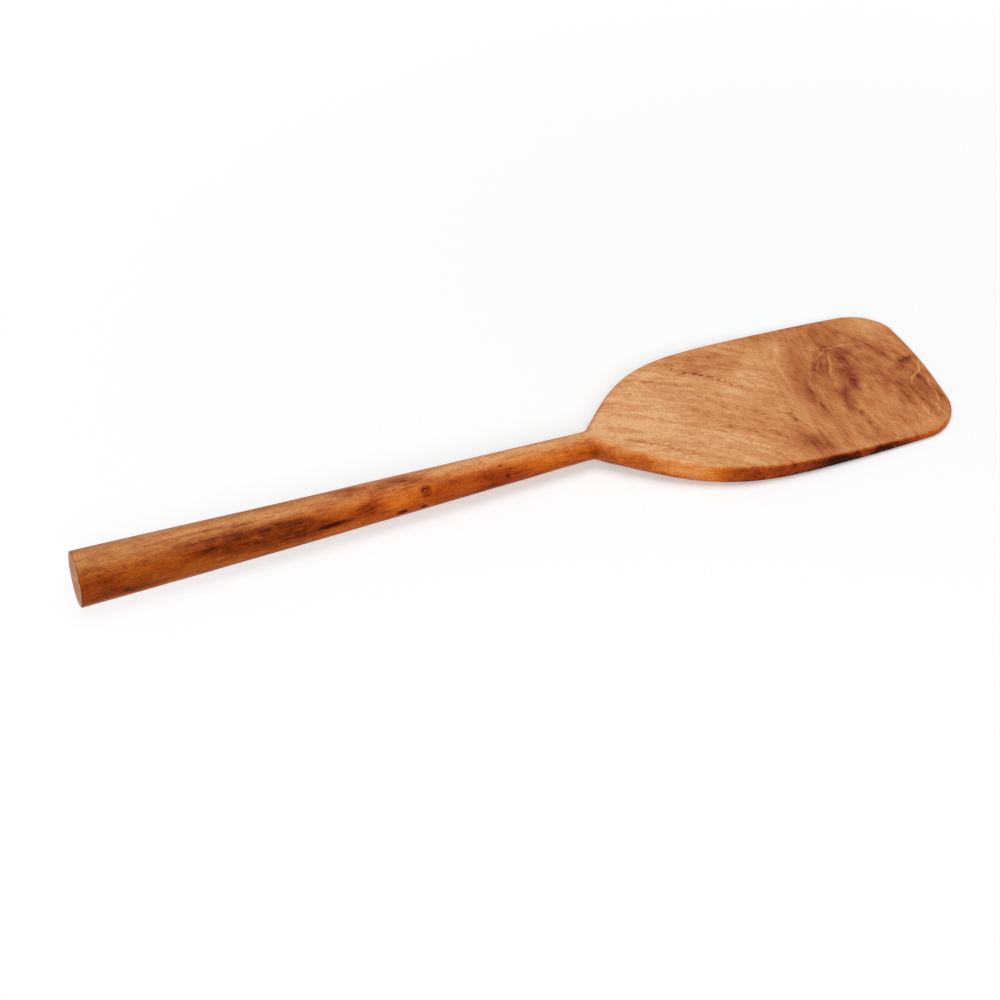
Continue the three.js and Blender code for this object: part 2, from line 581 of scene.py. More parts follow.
# Small knots and flecks of the handle, which the fibres run round
KNOT_MARKS = (
    on_handle(133, 33, 4.6, 4.4, 0.14, 0.6),
    on_handle(122.7, -15, 3.6, 1.7, 0.55, 0.8),
    on_handle(131.6, -17, 2, 1.6, 0.32, 0.8),
    on_handle(157, 80, 1.6, 0.7, 0.4, 0.7),
    on_handle(158.6, 70, 1.4, 0.6, 0.3, 0.7),
    on_handle(164, 51, 1.8, 0.9, 0.3, 0.7),
    on_handle(166, 11, 1.6, 1.6, 0.16, 0.9),
    on_handle(191, 37, 1.4, 0.6, 0.25, 0.7),
)

# Broad paler and darker areas of the blade
BROAD_MARKS = (
    on_blade(49, 6, 18, 24, 0, -0.1),
    on_blade(72, -17, 22, 14, -20, -0.08),
    on_blade(69.5, 1, 9, 4, 0, 0.16),
    on_blade(103, 11, 22, 12, 0, -0.18),
    on_blade(61, 25, 13, 7, 25, -0.24),
    on_blade(90, -18, 14, 6, -20, 0.08),
    on_blade(126, 31, 14, 7, 0, -0.18),
    on_blade(134, 37, 10, 5, 0, -0.22),
    on_blade(120, 13, 10, 6, 70, -0.14),
    on_blade(110, -9, 12, 7, 80, -0.08),
    on_blade(150, -8, 14, 10, 90, 0.1),
    on_blade(134, -34, 22, 8, 0, 0.08),
    on_blade(117, 24, 28, 16, -5, -0.22),
    on_blade(94, -15, 12, 10, 0, 0.1),
    on_blade(106, -31, 18, 14, -30, 0.14),
    on_blade(108.5, -28, 18, 7, -75, 0.16),
    on_blade(109.5, -33, 15, 10, 30, 0.17),
    on_blade(140, 18, 40, 34, 70, 0.16),
    on_blade(145, 31, 18, 12, 60, 0.12),
    on_blade(144, -22, 20, 12, 90, -0.08),
    on_blade(168, 14, 16, 12, 90, 0.08),
    on_blade(166, 32, 20, 12, -20, -0.22),
    on_blade(162, -12, 26, 16, 90, 0.06),
    on_blade(153, -36, 28, 5, 0, -0.16),
    on_blade(138, -37, 14, 5, 0, 0.12),
    on_blade(116, -36, 8, 5, 0, 0.12),
    on_blade(75, 30, 12, 5, -20, -0.14),
    on_blade(80, 18, 9, 5, -30, -0.1),
    on_blade(152, 24.5, 9, 6, 0, -0.18),
)

# Streaks and patches of the neck half of the blade
FIBRE_MARKS = (
    on_blade(84, 25, 24, 4, -42, 0.1),
    on_blade(86, 24, 10, 3, -40, 0.1),
    on_blade(98, 24, 9, 5, 50, 0.14),
    on_blade(89, 32, 30, 9, -6, 0.18),
    on_blade(104, 26, 13, 5, 48, 0.16),
    on_blade(64, 24.5, 14, 2.2, -27, 0.1),
    on_blade(60, 19, 10, 1.4, -24, 0.14),
    on_blade(68, 17, 8, 1, -24, 0.12),
    on_blade(80, 11, 12, 1.4, -50, 0.14),
    on_blade(74, -1, 10, 2.5, -12, 0.1),
    on_blade(83, -5, 9, 2.4, -20, 0.12),
    on_blade(92, -9, 8, 2, -30, 0.08),
    on_blade(75, -7, 2.6, 0.9, -30, 0.3),
    on_blade(45, -11.5, 17, 1.6, -35, 0.08),
    on_blade(60, -22, 14, 1.6, -38, 0.14),
    on_blade(99, -23, 9, 1.2, -45, 0.1),
    on_blade(96, -29, 16, 9, 0, 0.1),
)

# Lines of open pores: the long one from the far shoulder, a crack, and the one by the near rim
PORE_LINES = (
    on_blade(77, 30.5, 14, 1.2, -43, 1),
    on_blade(87, 22, 13, 1.4, -42, 1.3),
    on_blade(96, 12.5, 15, 1.1, -50, 1),
    on_blade(105, -9, 7, 0.8, -48, 0.9),
    on_blade(109, -15, 10, 0.9, -72, 0.9),
    on_blade(48, -13, 22, 1.2, -33, 0.8),
    on_blade(62, -22, 10, 1, -40, 0.6),
    on_blade(66, 24, 13, 1.4, -27, 0.8),
    on_blade(58, 17, 12, 1, -26, 0.5),
    on_blade(80, 10, 16, 0.9, -52, 0.5),
    on_blade(98, -23, 8, 0.8, -40, 0.7),
)

# A knot that shows as a ring of dots
DOTTED_KNOTS = (on_handle(133, 33, 4.4, 4.2, 0.36, 0.5),)

# Darker figure of the outer blade: the left legs of the arches, the core, the right leg, the tip
ARCH_MARKS = (
    on_blade(128, 24, 24, 9, 64, 0.14),
    on_blade(121.5, 0, 22, 5, 87, 0.08),
    on_blade(122.5, -18, 30, 5, 90, 0.1),
    on_blade(136, 15, 16, 6, 60, 0.14),
    on_blade(132.5, 5, 22, 6, 80, 0.14),
    on_blade(134.5, -9.5, 13, 6, 80, 0.26),
    on_blade(135, -27, 14, 3, 92, 0.12),
    on_blade(147, 16, 14, 8, 74, 0.1),
    on_blade(144.5, 6, 16, 7, 74, 0.17),
    on_blade(140.5, -2, 14, 6, 66, 0.18),
    on_blade(154.5, 6, 18, 6, 108, 0.1),
    on_blade(158, -12, 20, 7, 93, 0.12),
    on_blade(168.5, 2.5, 12, 5, 25, 0.26),
    on_blade(171, 4.5, 5, 2.4, 30, 0.16),
    on_blade(169, -7, 18, 9, 80, 0.18),
    on_blade(170, -14, 18, 6, 78, 0.12),
)

# Thin lines where the rings end: dark ones, then pale ones
THIN_LINES = (
    on_blade(45, -11, 15, 0.8, -30, 0.18),
    on_blade(55, -18, 13, 0.7, -40, 0.14),
    on_blade(66, -28, 13, 0.6, -45, 0.1),
    on_blade(79, 12, 11, 0.6, -58, 0.13),
    on_blade(85.5, 1, 15, 0.6, -65, 0.13),
    on_blade(53, 19.5, 5, 0.8, -20, 0.14),
    on_blade(63, 12.5, 8, 0.7, -22, 0.13),
    on_blade(69, 16, 7, 0.6, -24, 0.1),
    on_blade(106.5, -10, 7, 0.6, -40, 0.24),
    on_blade(109.5, -17, 9, 0.6, -76, 0.28),
    on_blade(123, -7, 20, 1.8, 93, 0.18),
    on_blade(162.5, -20, 22, 1.2, 97, 0.14),
    on_blade(137, 10, 14, 1.2, 66, 0.12),
    on_blade(156, 26, 15, 1.8, -55, 0.14),
    on_blade(162, 14, 12, 1.6, -72, 0.12),
    on_blade(134.5, 13, 9, 0.7, 60, -0.2),
    on_blade(139.5, 19.5, 8, 0.7, 35, -0.25),
    on_blade(148, 22, 13, 0.8, -4, -0.22),
    on_blade(157, 20.5, 7, 0.6, -5, -0.2),
    on_blade(169, 20, 9, 0.6, 0, -0.15),
    on_blade(140, 13, 14, 0.7, 65, -0.18),
    on_blade(138.5, -27, 14, 0.6, 92, -0.15),
    on_blade(168.5, -5, 13, 0.8, 50, -0.35),
    on_blade(168.5, -19, 13, 0.8, 70, -0.3),
    on_blade(171.5, -10, 6, 0.7, 80, -0.25),
    on_blade(160.5, -27, 16, 0.8, 96, -0.2),
)

# Painted shade in the crease at the neck's corner, darker places in the rim further on, and small knots
# of the blade
RIM_SHADE_AND_MARKS = (
    # painted shade in the crease where the neck meets the blade's rim
    Mark((29, -6.5, 8), (9, 5, 4), -45, 0.28, 1.0),
    Mark((41, -18, 7.5), (9, 4, 5), -45, 0.24, 1.0),
    on_blade(104, -41, 12, 2, 0, 0.05),
    on_blade(116.5, -41.2, 13, 2, 0, 0.1),
    on_blade(132.5, -40.8, 8, 1.8, 0, 0.06),
    on_blade(147, 40.5, 8, 1.6, 0, 0.3),
    on_blade(135.4, -20.3, 2.8, 1.8, 60, 0.3),
    on_blade(135.2, -27.2, 2.4, 1.5, 60, 0.22),
)


def share_between(start, end, share):
    """The value a share of the way from start to end."""
    return start + (end - start) * share


def eased(share):
    """A share from 0 to 1 that starts and ends softly."""
    held = min(max(share, 0), 1)
    return held * held * (3 - 2 * held)


def half_outline(sizes, neck_x, tip_x):
    """Half of the blade's outline from above, from the neck to the tip, as points (x, half width)."""
    half_width = sizes.blade_width / 2
    widest_x = tip_x - sizes.widest_from_tip
    flare = Vector((math.cos(SHOULDER_ANGLE), math.sin(SHOULDER_ANGLE)))
    neck = Vector((neck_x + SHOULDER_START, sizes.neck_diameter / 2))
    start = neck + flare * sizes.edge_radius
    widest = Vector((widest_x, half_width))
    pulled = start + flare * SHOULDER_PULL
    straight = widest - Vector((EDGE_PULL, 0))
    points = interpolate_bezier(start, pulled, straight, widest, SHOULDER_STEPS)

    corner_x = tip_x - sizes.tip_corner

    def long_edge(x):
        share = (x - widest_x) / sizes.widest_from_tip
        return share_between(sizes.blade_width, sizes.tip_width, share * share) / 2

    for step in range(1, EDGE_STEPS + 1):
        x = share_between(widest_x, corner_x, step / EDGE_STEPS)
        points.append(Vector((x, long_edge(x))))
    for step in range(1, TIP_STEPS + 1):
        angle = math.pi / 2 * step / TIP_STEPS
        x = corner_x + sizes.tip_corner * math.sin(angle)
        points.append(Vector((x, long_edge(x) - sizes.tip_corner * (1 - math.cos(angle)))))
    return points


def blade_sections(sizes, neck_x, tip_x):
    """The sections of the blade, from the neck to the tip."""
    neck_radius = sizes.neck_diameter / 2
    neck_top = sizes.neck_lift + sizes.neck_diameter
    for x, half_width in half_outline(sizes, neck_x, tip_x):
        along = min(1, (x - neck_x) / (tip_x - neck_x))
        into_edge = max(0, x - (tip_x - sizes.edge_radius))
        rounding = sizes.edge_radius - math.sqrt(max(0, sizes.edge_radius**2 - into_edge**2))
        top = share_between(sizes.tip_thickness, neck_top, (1 - along) ** SCOOP) - rounding
        back = sizes.neck_lift * (1 - eased((x - neck_x) / BACK_RUN)) + rounding
        room = ROUND_LIMIT * min(half_width, (top - back) / 2)
        top_round = share_between(sizes.edge_radius, neck_radius, (1 - along) ** TOP_EDGE_FADE)
        back_round = share_between(sizes.edge_radius, neck_radius, (1 - along) ** BACK_EDGE_FADE)
        near_tip = eased(1 - (tip_x - x) / sizes.widest_from_tip)
        fullest, end = SHOULDER_RUN
        past_neck = x - neck_x
        fuller = eased(past_neck / fullest) * eased((end - past_neck) / (end - fullest))
        yield Section(
            x=x,
            half_width=half_width,
            back=back,
            top=top,
            top_round=min(top_round, room),
            back_round=min(back_round, room),
            turn=sizes.tip_turn * near_tip,
            bow=sizes.tip_bow * near_tip,
            drift=TIP_DRIFT * near_tip + SHOULDER_DRIFT * fuller,
        )


def select_points(turner, test):
    """Selects the points of a mesh in edit mode that pass a test, and their edges and faces."""
    mesh = bmesh.from_edit_mesh(turner.data)
    for point in mesh.verts:
        point.select = test(point)
    mesh.select_flush_mode()
    bmesh.update_edit_mesh(turner.data)


def select_edges(turner, test):
    """Selects the edges of a mesh in edit mode that pass a test."""
    mesh = bmesh.from_edit_mesh(turner.data)
    bpy.ops.mesh.select_all(action="DESELECT")
    for edge in mesh.edges:
        if test(edge):
            edge.select_set(True)
    bmesh.update_edit_mesh(turner.data)


def add_handle(sizes, butt_x, neck_x):
    """Starts the turner with its handle, a long cone that leans down to the neck."""
    butt_radius = sizes.butt_diameter / 2
    neck_radius = sizes.neck_diameter / 2
    length = neck_x - butt_x
    butt_height = butt_radius
    neck_height = sizes.neck_lift + neck_radius
    middle = ((butt_x + neck_x) / 2, 0, (butt_height + neck_height) / 2)
    lean = math.atan2(butt_height - neck_height, length)
    bpy.ops.object.select_all(action="DESELECT")
    bpy.ops.mesh.primitive_cone_add(
        vertices=RING_POINTS,
        radius1=butt_radius,
        radius2=neck_radius,
        depth=length,
        location=middle,
        rotation=(0, math.pi / 2 + lean, 0),
    )
    bpy.ops.object.transform_apply(location=True, rotation=True, scale=True)
    turner = bpy.context.object
    turner.name = "turner_wood"
    bpy.ops.object.mode_set(mode="EDIT")
    half_step = math.pi / RING_POINTS
    bpy.ops.transform.rotate(value=half_step, orient_axis="X", center_override=middle)

    near_neck = neck_x - length / 4
    select_points(turner, lambda point: point.co.x > near_neck)
    bpy.ops.mesh.delete(type="ONLY_FACE")
    select_edges(turner, lambda edge: edge.calc_length() > length / 2)
    bpy.ops.mesh.subdivide(number_cuts=HANDLE_CUTS)
    return turner


def finish_butt(turner, sizes, butt_x):
    """Turns the butt out of square, rounds its edge and domes its end a little, as sanding leaves it."""
    select_points(turner, lambda point: point.co.x < butt_x + sizes.butt_edge)
    middle = (butt_x, 0, sizes.butt_diameter / 2)
    bpy.ops.transform.rotate(value=BUTT_TURN, orient_axis="Z", center_override=middle)
    bpy.ops.transform.translate(value=(BUTT_REACH, 0, 0))
    bpy.ops.transform.translate(
        value=(0, BUTT_DRIFT, 0),
        use_proportional_edit=True,
        proportional_edit_falloff="SMOOTH",
        proportional_size=BUTT_BEND,
    )
    bpy.ops.mesh.bevel(offset=sizes.butt_edge, segments=BUTT_EDGE_STEPS, affect="EDGES")
    mesh = bmesh.from_edit_mesh(turner.data)
    end = max(mesh.faces, key=lambda face: len(face.verts))
    bpy.ops.mesh.select_all(action="DESELECT")
    end.select_set(True)
    bmesh.update_edit_mesh(turner.data)
    for share in BUTT_INSETS:
        bpy.ops.mesh.inset(thickness=share * sizes.butt_diameter / 2)
        bpy.ops.transform.translate(value=(-BUTT_DOME / len(BUTT_INSETS), 0, 0))


def add_section(turner, section):
    """Adds one section of the blade as a ring of edges."""
    middle = (section.x - section.bow, section.drift, (section.back + section.top) / 2)
    height = section.top - section.back
    bpy.ops.mesh.select_all(action="DESELECT")
    bpy.ops.mesh.primitive_plane_add(size=1, location=middle, rotation=(0, math.pi / 2, 0))
    bpy.ops.transform.resize(value=(1, 2 * section.half_width, height), center_override=middle)
    corners = {"offset": section.top_round, "segments": CORNER_STEPS, "affect": "VERTICES"}
    select_points(turner, lambda point: point.select and point.co.z > middle[2])
    bpy.ops.mesh.bevel(**corners)
    select_points(turner, lambda point: not point.select and is_beside_selected(point))
    corners["offset"] = section.back_round
    bpy.ops.mesh.bevel(**corners)
    bpy.ops.mesh.select_linked()
    bpy.ops.mesh.delete(type="ONLY_FACE")
    select_edges(turner, lambda edge: edge.is_wire and crosses_middle(edge, middle[0]))
    bpy.ops.mesh.subdivide(number_cuts=FACE_CUTS)
    if section.turn:
        bend_section(turner, section, middle)


def bend_section(turner, section, middle):
    """Bows a section near the tip forward in its middle, and turns it out of square."""
    select_points(turner, lambda point: is_at(point.co.x, middle[0]) and is_at(point.co.y, middle[1]))
    bpy.ops.transform.translate(
        value=(section.bow, 0, 0),
        use_proportional_edit=True,
        use_proportional_connected=True,
        proportional_edit_falloff="INVERSE_SQUARE",
        proportional_size=section.half_width,
    )
    bpy.ops.mesh.select_linked()
    bpy.ops.transform.rotate(value=section.turn, orient_axis="Z", center_override=middle)


def is_beside_selected(point):
    """Tells whether a point shares a face with selected points."""
    return any(other.select for face in point.link_faces for other in face.verts)


def is_at(value, place):
    """Tells whether a coordinate is at a place, apart from rounding."""
    return abs(value - place) < NO_DISTANCE


def crosses_middle(edge, x):
    """Tells whether an edge lies at x and crosses the middle of the blade."""
    first, second = (point.co for point in edge.verts)
    return is_at(first.x, x) and is_at(second.x, x) and first.y * second.y < 0


def close_skin(turner):
    """Skins the turner over its sections and closes its tip."""
    select_edges(turner, lambda edge: edge.is_wire or edge.is_boundary)
    bpy.ops.mesh.bridge_edge_loops()
    select_edges(turner, lambda edge: edge.is_boundary)
    bpy.ops.mesh.edge_face_add()
    bpy.ops.mesh.select_all(action="SELECT")
    bpy.ops.mesh.normals_make_consistent(inside=False)
    bpy.ops.object.mode_set(mode="OBJECT")


def sand_surface(turner):
    """Smooths the skin and gives it the slight unevenness of sanding by hand."""
    smooth = turner.modifiers.new("smooth", "SUBSURF")
    smooth.levels = SMOOTH_LEVELS
    smooth.render_levels = SMOOTH_LEVELS
    bpy.ops.object.modifier_apply(modifier=smooth.name)

    waves = bpy.data.textures.new("sanding_waves", "CLOUDS")
    waves.noise_scale = SANDING_WAVE
    uneven = turner.modifiers.new("sanding", "DISPLACE")
    uneven.texture = waves
    uneven.texture_coords = "LOCAL"
    uneven.strength = SANDING_DEPTH
    bpy.ops.object.modifier_apply(modifier=uneven.name)
    bpy.ops.object.shade_smooth()


def add_node(tree, kind, inputs=None, stops=(), **settings):
    """Adds a node, sets its settings and the stops of its ramp, and fills or links its inputs."""
    node = tree.nodes.new(kind)
    for name, value in settings.items():
        setattr(node, name, value)
    for socket, value in (inputs or {}).items():
        if isinstance(value, bpy.types.NodeSocket):
            tree.links.new(value, node.inputs[socket])
        else:
            node.inputs[socket].default_value = value
    for index, (position, colour) in enumerate(stops):
        elements = node.color_ramp.elements
        element = elements[index] if index < 2 else elements.new(position)
        element.position = position
        element.color = (*colour, 1)
    return node


def grain_space(tree, place):
    """Turns a place into grain space: along the fibres, across them, and up, in millimetres."""
    axes = add_node(tree, "ShaderNodeSeparateXYZ", {0: place}).outputs
    past = add_node(tree, "ShaderNodeMath", {0: axes["X"], 1: BEND_X}, operation="SUBTRACT")
    beyond = add_node(tree, "ShaderNodeMath", {0: past.outputs[0], 1: 0.0}, operation="MAXIMUM")
    before = add_node(tree, "ShaderNodeMath", {0: axes["X"], 1: BEND_X}, operation="MINIMUM")
    aside = add_node(tree, "ShaderNodeMath", {0: axes["Y"], 1: BEND_RADIUS}, operation="ADD")
    arm = add_node(tree, "ShaderNodeCombineXYZ", {0: beyond.outputs[0], 1: aside.outputs[0]})
    radius = add_node(tree, "ShaderNodeVectorMath", {0: arm.outputs[0]}, operation="LENGTH")
    angle = add_node(
        tree, "ShaderNodeMath", {0: beyond.outputs[0], 1: aside.outputs[0]}, operation="ARCTAN2"
    )
    along = add_node(
        tree,
        "ShaderNodeMath",
        {0: angle.outputs[0], 1: BEND_STRETCH, 2: before.outputs[0]},
        operation="MULTIPLY_ADD",
    )
    across = add_node(
        tree, "ShaderNodeMath", {0: radius.outputs["Value"], 1: BEND_RADIUS}, operation="SUBTRACT"
    )
    grain = add_node(
        tree, "ShaderNodeCombineXYZ", {0: along.outputs[0], 1: across.outputs[0], 2: axes["Z"]}
    )
    return grain.outputs[0]


def arch_space(tree, place):
    """Grain space of the outer blade: along the nested arches, out from their centre, and up."""
    flat = add_node(
        tree,
        "ShaderNodeMapping",
        {"Vector": place, "Location": ARCH_CENTRE, "Scale": ARCH_STRETCH},
        vector_type="TEXTURE",
    )
    axes = add_node(tree, "ShaderNodeSeparateXYZ", {0: flat.outputs[0]}).outputs
    arm = add_node(tree, "ShaderNodeCombineXYZ", {0: axes["X"], 1: axes["Y"]})
    radius = add_node(tree, "ShaderNodeVectorMath", {0: arm.outputs[0]}, operation="LENGTH")
    angle = add_node(tree, "ShaderNodeMath", {0: axes["X"], 1: axes["Y"]}, operation="ARCTAN2")
    along = add_node(
        tree, "ShaderNodeMath", {0: angle.outputs[0], 1: ARCH_LENGTH}, operation="MULTIPLY"
    )
    arch = add_node(
        tree,
        "ShaderNodeCombineXYZ",
        {0: along.outputs[0], 1: radius.outputs["Value"], 2: axes["Z"]},
    )
    return arch.outputs[0]


def arch_share(tree, arches):
    """0 where the fibres bend in from the handle, and 1 where the arches of the outer blade rule."""
    axes = add_node(tree, "ShaderNodeSeparateXYZ", {0: arches}).outputs
    share = add_node(
        tree,
        "ShaderNodeMapRange",
        {"Value": axes["Y"], "From Min": ARCH_OUTER, "From Max": ARCH_INNER},
        interpolation_type="SMOOTHSTEP",
    )
    return share.outputs[0]


def stretched_noise(tree, space, size, **inputs):
    """Noise whose lumps have a given size in millimetres along each axis of a space."""
    fitted = add_node(
        tree, "ShaderNodeMapping", {"Vector": space, "Scale": size}, vector_type="TEXTURE"
    )
    settings = {"Vector": fitted.outputs[0], "Scale": 1.0}
    settings.update(inputs)
    return add_node(tree, "ShaderNodeTexNoise", settings)


def straying(tree, space, stray):
    """The same space with its lines bent by noise, so that nothing in it runs dead straight."""
    noise = stretched_noise(tree, space, stray.size, Detail=2.0)
    shift = add_node(
        tree,
        "ShaderNodeVectorMath",
        {0: noise.outputs["Color"], 1: NOISE_MIDDLE},
        operation="SUBTRACT",
    )
    bent = add_node(
        tree,
        "ShaderNodeVectorMath",
        {0: shift.outputs[0], 1: stray.amount, 2: space},
        operation="MULTIPLY_ADD",
    )
    return bent.outputs[0]


def facing(tree, axis):
    """1 on faces that look along an axis of the turner, either way, and 0 on faces that run along it."""
    normal = add_node(tree, "ShaderNodeTexCoord").outputs["Normal"]
    axes = add_node(tree, "ShaderNodeSeparateXYZ", {0: normal}).outputs
    return add_node(tree, "ShaderNodeMath", {0: axes[axis]}, operation="ABSOLUTE").outputs[0]


def facing_down(tree):
    """0 on faces that look up or sideways, and 1 on faces that look well down."""
    normal = add_node(tree, "ShaderNodeTexCoord").outputs["Normal"]
    upward = add_node(tree, "ShaderNodeSeparateXYZ", {0: normal}).outputs["Z"]
    under = add_node(
        tree, "ShaderNodeMapRange", {"Value": upward, "From Min": 0.0, "From Max": UNDER_SLOPE}
    )
    return under.outputs[0]


def wood_sockets(tree):
    """Measures out the wood: places in it, its grain, and where its sides are."""
    spot = add_node(tree, "ShaderNodeTexCoord").outputs["Object"]
    millimetres = add_node(
        tree, "ShaderNodeVectorMath", {0: spot, "Scale": 1 / MM}, operation="SCALE"
    )
    place = millimetres.outputs[0]
    grain = straying(tree, grain_space(tree, place), GRAIN_STRAY)
    arches = straying(tree, arch_space(tree, place), ARCH_STRAY)
    return WoodSockets(
        place=place,
        along=add_node(tree, "ShaderNodeSeparateXYZ", {0: place}).outputs["X"],
        grain=grain,
        arches=arches,
        outer=arch_share(tree, arches),
        sideways=facing(tree, "Y"),
    )


def tone_along(tree, wood, tones):
    """A darkness that changes along the turner, from the butt to the tip."""
    share = add_node(
        tree,
        "ShaderNodeMapRange",
        {"Value": wood.along, "From Min": CAD_LOW.x / MM, "From Max": CAD_HIGH.x / MM},
    )
    stops = [(position, (value, value, value)) for position, value in tones]
    return add_node(tree, "ShaderNodeValToRGB", {0: share.outputs[0]}, stops).outputs["Color"]


def handle_to_blade(tree, wood, handle, blade):
    """A value that turns from the handle's into the blade's as the neck comes near."""
    start, end = NECK_BLEND
    value = add_node(
        tree,
        "ShaderNodeMapRange",
        {"Value": wood.along, "From Min": start, "From Max": end, "To Min": handle, "To Max": blade},
    )
    return value.outputs[0]


def add_parts(tree, tone, parts):
    """Adds parts to the darkness of the wood, each one times its amount."""
    for part, amount in parts:
        total = add_node(
            tree, "ShaderNodeMath", {0: part, 1: amount, 2: tone}, operation="MULTIPLY_ADD"
        )
        tone = total.outputs[0]
    return tone


def add_marks(tree, tone, space, marks):
    """Adds the marks of a list to the darkness of the wood."""
    for mark in marks:
        turned = (0, 0, math.radians(mark.turn))
        within = add_node(
            tree,
            "ShaderNodeMapping",
            {"Vector": space, "Location": mark.place, "Rotation": turned, "Scale": mark.reach},
            vector_type="TEXTURE",
        )
        ball = add_node(
            tree, "ShaderNodeTexGradient", {0: within.outputs[0]}, gradient_type="SPHERICAL"
        )
        soft = add_node(
            tree,
            "ShaderNodeMapRange",
            {"Value": ball.outputs["Fac"], "From Max": mark.edge, "To Max": mark.depth},
            interpolation_type="SMOOTHSTEP",
        )
        total = add_node(tree, "ShaderNodeMath", {0: soft.outputs[0], 1: tone}, operation="ADD")
        tone = total.outputs[0]
    return tone


def layered_tone(tree, space, layers):
    """Sum of the wood's layers in a grain space, about 0 on average."""
    parts = []
    for layer in layers:
        noise = stretched_noise(tree, space, layer.size, Detail=2.0, Roughness=WOOD_ROUGHNESS)
        parts.append((noise.outputs["Fac"], layer.amount))
    return add_parts(tree, -sum(layer.amount for layer in layers) / 2, parts)


def growth_rings(tree, wood):
    """Figure of the wood: layers along the fibres, and along the arches in the outer blade."""
    rings = add_node(
        tree,
        "ShaderNodeMix",
        {
            0: wood.outer,
            2: layered_tone(tree, wood.grain, FIBRE_LAYERS),
            3: layered_tone(tree, wood.arches, ARCH_LAYERS),
        },
    )
    return rings.outputs[0]


def pore_pits(tree, wood):
    """1 in the short dark pores along the fibres, and 0 between them."""
    pores = stretched_noise(tree, wood.grain, PORE_SIZE, Detail=1.0)
    start, end = PORE_RANGE
    pits = add_node(
        tree,
        "ShaderNodeMapRange",
        {"Value": pores.outputs["Fac"], "From Min": start, "From Max": end},
        interpolation_type="SMOOTHSTEP",
    )
    return pits.outputs[0]


def end_shade_and_light(tree, wood):
    """Darkness of the butt's end: painted shade on its rounded edge, and painted light on the end face
    inside it.
    """
    at_butt = add_node(
        tree, "ShaderNodeMath", {0: wood.along, 1: HANDLE_START + END_DEPTH}, operation="LESS_THAN"
    )
    endwise = add_node(
        tree, "ShaderNodeMath", {0: facing(tree, "X"), 1: at_butt.outputs[0]}, operation="MULTIPLY"
    )
    parts = []
    for (start, end), depth in ((END_EDGE_SHADE_SLOPES, END_EDGE_SHADE), (END_FACE_SLOPES, END_FACE_LIGHT)):
        slope = add_node(
            tree,
            "ShaderNodeMapRange",
            {"Value": endwise.outputs[0], "From Min": start, "From Max": end},
        )
        parts.append((slope.outputs[0], depth))
    return add_parts(tree, 0.0, parts)


def plain_tone(tree, wood, rings, pits):
    """Darkness of the wood before its marks, from 0 where it is palest to 1 where it is darkest."""
    fibres = stretched_noise(tree, wood.grain, FIBRE_SIZE, Detail=2.5, Roughness=WOOD_ROUGHNESS)
    lines = add_node(
        tree, "ShaderNodeMapRange", {"Value": fibres.outputs["Fac"], "To Min": -0.5, "To Max": 0.5}
    )
    calm = add_node(
        tree,
        "ShaderNodeMapRange",
        {"Value": wood.sideways, "From Min": CALM_SLOPE, "To Min": 1.0, "To Max": SIDE_CONTRAST},
    )
    contrast = handle_to_blade(tree, wood, HANDLE_CONTRAST, 1.0)
    figure = add_node(tree, "ShaderNodeMath", {0: contrast, 1: calm.outputs[0]}, operation="MULTIPLY")
    depth = add_node(tree, "ShaderNodeMix", {0: wood.outer, 2: FIBRE_DEPTH, 3: ARCH_FIBRE_DEPTH})
    fineness = add_node(
        tree, "ShaderNodeMath", {0: depth.outputs[0], 1: calm.outputs[0]}, operation="MULTIPLY"
    )
    inner_pores = handle_to_blade(tree, wood, HANDLE_PORE_DEPTH, PORE_DEPTH)
    pore_depth = add_node(tree, "ShaderNodeMix", {0: wood.outer, 2: inner_pores, 3: ARCH_PORE_DEPTH})
    parts = (
        (rings, figure.outputs[0]),
        (lines.outputs[0], fineness.outputs[0]),
        (pits, pore_depth.outputs[0]),
        # painted shade on the sides, with the walls' own darker and paler wood
        (wood.sideways, tone_along(tree, wood, SIDE_SHADE_AND_WOOD_TONES)),
        (facing_down(tree), tone_along(tree, wood, UNDER_TONES)),
        # painted shade and painted light on the butt's end
        (end_shade_and_light(tree, wood), 1.0),
    )
    return add_parts(tree, tone_along(tree, wood, BASE_TONES), parts)


def marked_tone(tree, wood, tone):
    """Darkness of the wood with its marks. Each kind of mark strays in its own way."""
    soft = straying(tree, wood.place, SOFT_STRAY)
    frayed = straying(tree, wood.place, FIBRE_STRAY)
    for space, marks in (
        (straying(tree, wood.place, STREAK_STRAY), HANDLE_MARKS),
        (frayed, FIBRE_MARKS),
        (straying(tree, soft, LEG_STRAY), ARCH_MARKS),
        (soft, BROAD_MARKS + THIN_LINES),
        (wood.place, KNOT_MARKS + RIM_SHADE_AND_MARKS),
    ):
        tone = add_marks(tree, tone, space, marks)
    dotted = add_marks(tree, 0.0, frayed, PORE_LINES)
    dotted = add_marks(tree, dotted, wood.place, DOTTED_KNOTS)
    grit = stretched_noise(tree, wood.place, GRIT_SIZE, Detail=1.0)
    start, end = GRIT_RANGE
    broken = add_node(
        tree,
        "ShaderNodeMapRange",
        {"Value": grit.outputs["Fac"], "From Min": start, "From Max": end, "To Max": GRIT_DEPTH},
    )
    return add_parts(tree, tone, ((dotted, broken.outputs[0]),))


